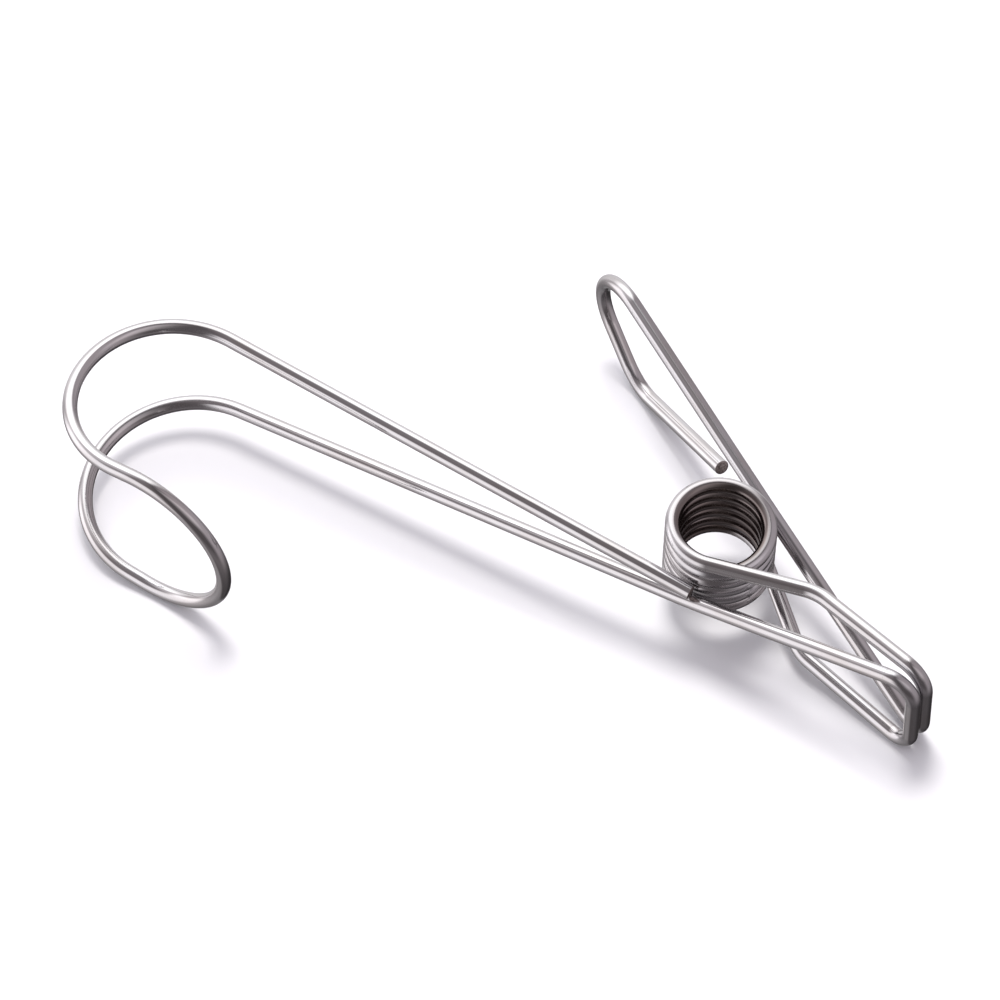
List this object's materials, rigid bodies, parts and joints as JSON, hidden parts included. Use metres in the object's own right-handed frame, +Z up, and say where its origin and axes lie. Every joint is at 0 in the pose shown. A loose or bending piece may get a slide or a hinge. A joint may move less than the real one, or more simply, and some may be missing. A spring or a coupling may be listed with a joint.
{
  "type": "wire clothespin",
  "caption": "Long-tailed spring clothespin bent from round stainless wire: narrow jaws, a coil between its arms, a thumb loop, and a long tail that ends in an open hook.",
  "frame": {"origin": "centre of the spring coil, on its axis", "axes": "+X towards the jaws, +Z up from the surface that the clip lies on, +Y towards the thumb loop's side"},
  "size_m": [0.1114, 0.0723, 0.0268],
  "materials": {
    "wire": "bright drawn stainless wire"
  },
  "bodies": {
    "hook_arm": {"lower_spring_leg": "wire", "front_jaw_heel": "wire", "front_jaw_lower_bar": "wire", "front_jaw_nose": "wire", "front_jaw_upper_bar": "wire", "front_arm_elbow": "wire", "hook_main_leg": "wire", "hook_lower_bend": "wire", "hook_tip_loop": "wire", "hook_upper_bend": "wire", "hook_free_leg": "wire", "spring_coil": "wire"},
    "thumb_arm": {"upper_spring_leg": "wire", "rear_jaw_heel": "wire", "rear_jaw_upper_bar": "wire", "rear_jaw_nose": "wire", "rear_jaw_lower_bar": "wire", "rear_arm_elbow": "wire", "thumb_main_leg": "wire", "thumb_loop_bend": "wire", "thumb_end_bar": "wire", "thumb_corner_bend": "wire", "thumb_free_leg": "wire"}
  },
  "joints": [
    {"name": "jaw_pivot", "type": "hinge", "parent": "hook_arm", "child": "thumb_arm", "pos_m": [0, 0, 0], "axis": [0.1137, -0.018, 0.9933], "range_deg": [0, 45], "stiffness_Nm_per_rad": 0.6, "springref_deg": -25.78, "deforming": ["spring_coil"]}
  ]
}
